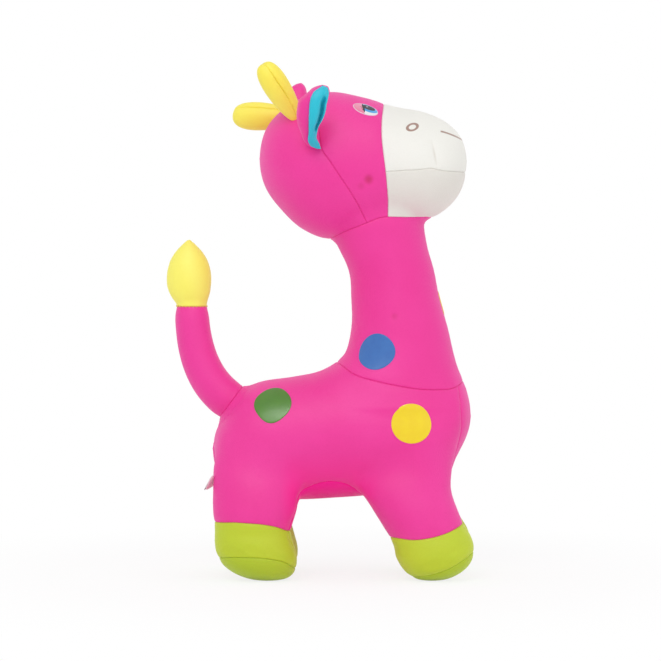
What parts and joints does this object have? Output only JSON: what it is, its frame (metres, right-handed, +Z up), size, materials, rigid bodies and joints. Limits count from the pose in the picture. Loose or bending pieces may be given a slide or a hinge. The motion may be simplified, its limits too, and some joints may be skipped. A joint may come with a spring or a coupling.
{
  "type": "plush giraffe",
  "caption": "Standing stuffed giraffe with a big rounded muzzle, long neck, stubby legs, cupped ears, soft horns and an upright tufted tail.",
  "frame": {"origin": "on the floor, under the centre of the toy's bounding box", "axes": "+Z up, +X the way the giraffe looks, its right side is -Y"},
  "size_m": [0.203, 0.1285, 0.3448],
  "materials": {
    "pink_knit": "satin stretch knit, bright pink",
    "white_knit": "satin stretch knit, off-white",
    "lime_knit": "satin stretch knit, lime green",
    "sole_knit": "satin stretch knit, darker lime green",
    "yellow_knit": "satin stretch knit, pale yellow",
    "blue_knit": "satin stretch knit, cyan blue",
    "filling_fibre": "loose white polyester fibre",
    "eye_print": "printed film, slight gloss",
    "green_print": "printed film, slight gloss",
    "yellow_print": "printed film, slight gloss",
    "blue_print": "printed film, slight gloss",
    "label_ribbon": "thin satin ribbon, blank"
  },
  "bodies": {
    "body": {"belly_gusset": "pink_knit", "chest_gusset": "pink_knit", "torso_panel_right": "pink_knit", "torso_panel_left": "pink_knit", "neck_panel_right": "pink_knit", "neck_panel_left": "pink_knit", "head_back": "pink_knit", "face": "pink_knit", "muzzle": "white_knit", "chin": "white_knit", "hind_leg_right": "pink_knit", "hind_foot_right": "lime_knit", "hind_sole_right": "sole_knit", "fore_leg_right": "pink_knit", "fore_foot_right": "lime_knit", "fore_sole_right": "sole_knit", "hind_leg_left": "pink_knit", "hind_foot_left": "lime_knit", "hind_sole_left": "sole_knit", "fore_leg_left": "pink_knit", "fore_foot_left": "lime_knit", "fore_sole_left": "sole_knit", "filling": "filling_fibre", "eye_right": "eye_print", "eye_left": "eye_print", "hip_spot_right": "green_print", "hip_spot_left": "green_print", "chest_spot_right": "yellow_print", "chest_spot_left": "yellow_print", "neck_spot_right": "blue_print", "neck_spot_left": "blue_print", "throat_spot": "yellow_print"},
    "tail": {"tail": "pink_knit", "tail_tuft": "yellow_knit"},
    "right_horn": {"horn_right": "yellow_knit"},
    "left_horn": {"horn_left": "yellow_knit"},
    "right_ear": {"ear_shell_right": "pink_knit", "ear_lining_right": "blue_knit"},
    "left_ear": {"ear_shell_left": "pink_knit", "ear_lining_left": "blue_knit"},
    "label": {"care_label": "label_ribbon"}
  },
  "joints": [
    {"name": "tail_bend", "type": "hinge", "parent": "body", "child": "tail", "pos_m": [-0.0621, 0, 0.11941], "axis": [0, 1, 0], "range_deg": [-15, 15], "stiffness_Nm_per_rad": 0.05},
    {"name": "right_horn_bend", "type": "hinge", "parent": "body", "child": "right_horn", "pos_m": [-0.016, -0.03118, 0.31007], "axis": [0, 1, 0], "range_deg": [-50, 10], "stiffness_Nm_per_rad": 0.01},
    {"name": "left_horn_bend", "type": "hinge", "parent": "body", "child": "left_horn", "pos_m": [-0.016, 0.03118, 0.31007], "axis": [0, 1, 0], "range_deg": [-5, 50], "stiffness_Nm_per_rad": 0.01},
    {"name": "right_ear_bend", "type": "hinge", "parent": "body", "child": "right_ear", "pos_m": [0.00036, -0.04338, 0.28739], "axis": [0, 1, 0], "range_deg": [-20, 20], "stiffness_Nm_per_rad": 0.01},
    {"name": "left_ear_bend", "type": "hinge", "parent": "body", "child": "left_ear", "pos_m": [0.00036, 0.04099, 0.29609], "axis": [0, 1, 0], "range_deg": [-20, 20], "stiffness_Nm_per_rad": 0.01},
    {"name": "label_flap", "type": "hinge", "parent": "body", "child": "label", "pos_m": [-0.07148, -0.02333, 0.06754], "axis": [0, 1, 0], "range_deg": [-30, 30], "stiffness_Nm_per_rad": 0.0001}
  ]
}
